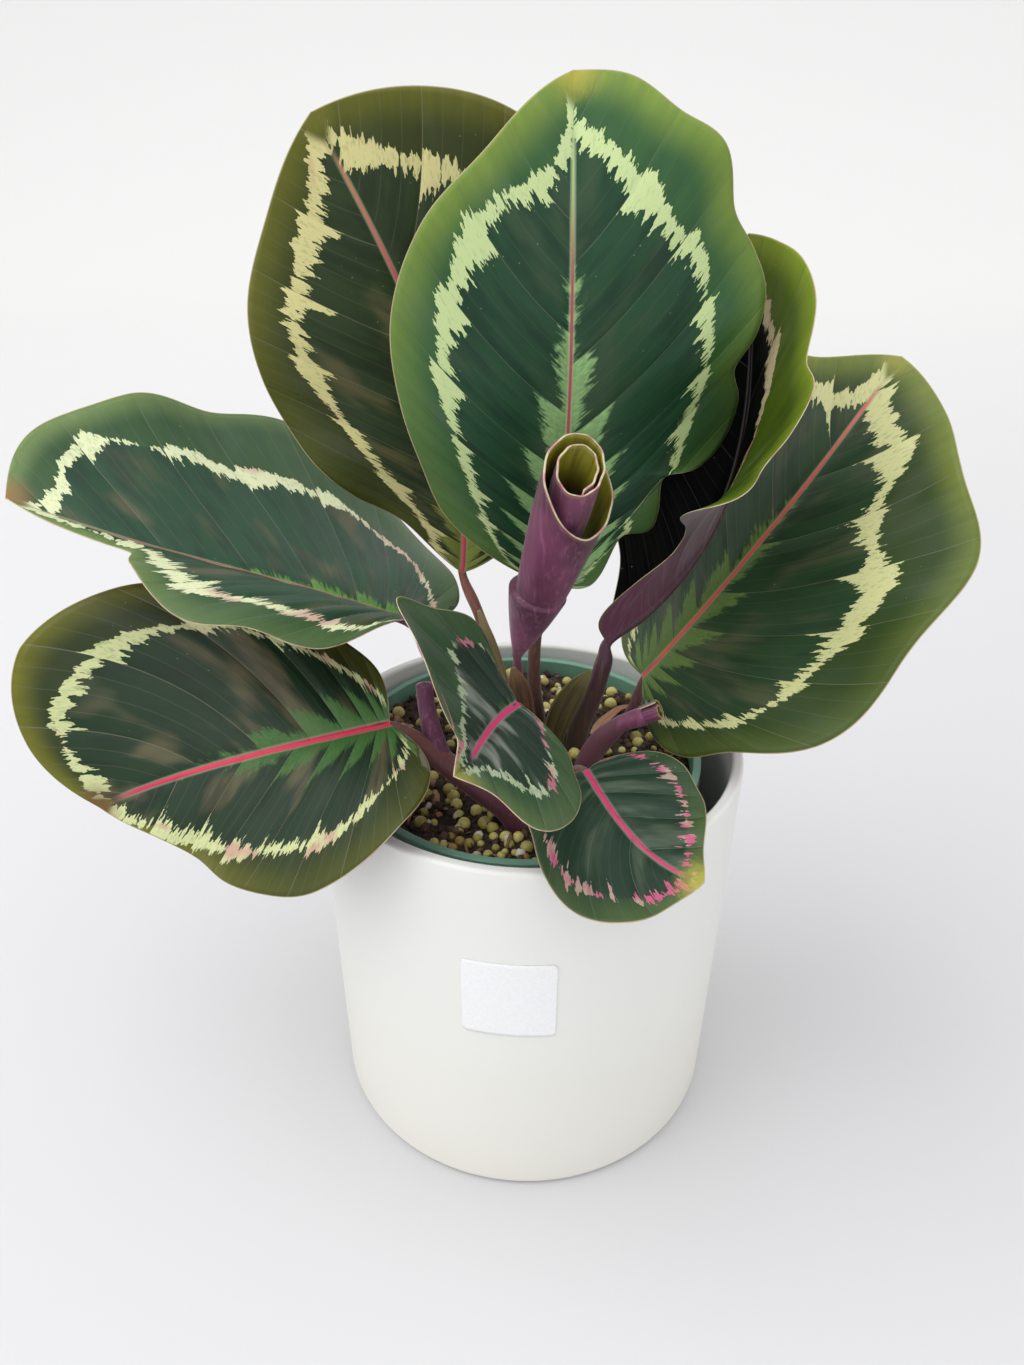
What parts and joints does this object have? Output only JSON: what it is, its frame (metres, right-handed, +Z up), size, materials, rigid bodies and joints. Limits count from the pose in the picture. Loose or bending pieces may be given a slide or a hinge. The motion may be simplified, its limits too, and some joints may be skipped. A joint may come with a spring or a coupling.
{
  "type": "potted calathea",
  "caption": "Calathea with broad round patterned leaves, a rolled young leaf and bracts, in a nursery pot set inside a plain white cylindrical cover pot.",
  "frame": {"origin": "centre of the cover pot's flat underside", "axes": "+Z up, -Y towards the viewer of the picture, +X to their right"},
  "size_m": [0.2547, 0.1607, 0.2981],
  "materials": {
    "cover_glaze": "warm off-white satin glaze",
    "label_paper": "blank matte paper sticker",
    "nursery_plastic": "teal-green moulded plastic",
    "soil": "dark peat with round yellow-green fertiliser prills, bark and perlite",
    "leaf": "waxy leaf, dark green with a pale yellow-green ring above, purple below",
    "young_leaf": "rolled young leaf, plum purple outside, green-brown inside",
    "bract": "striped olive and brown sheath",
    "dry_leaf": "dry brown leaf strip"
  },
  "bodies": {
    "root": {"cover_pot": "cover_glaze", "blank_label": "label_paper", "nursery_pot": "nursery_plastic", "potting_soil": "soil", "leaf_centre": "leaf", "leaf_back_left": "leaf", "leaf_left_upper": "leaf", "leaf_left_lower": "leaf", "leaf_right": "leaf", "leaf_folded": "leaf", "leaf_front_small": "leaf", "leaf_front_right": "leaf", "leaf_rolled": "young_leaf", "leaf_bud": "young_leaf", "bract_boat": "bract", "bract_short": "bract", "bract_papery": "bract", "dry_strip": "dry_leaf"}
  },
  "joints": []
}
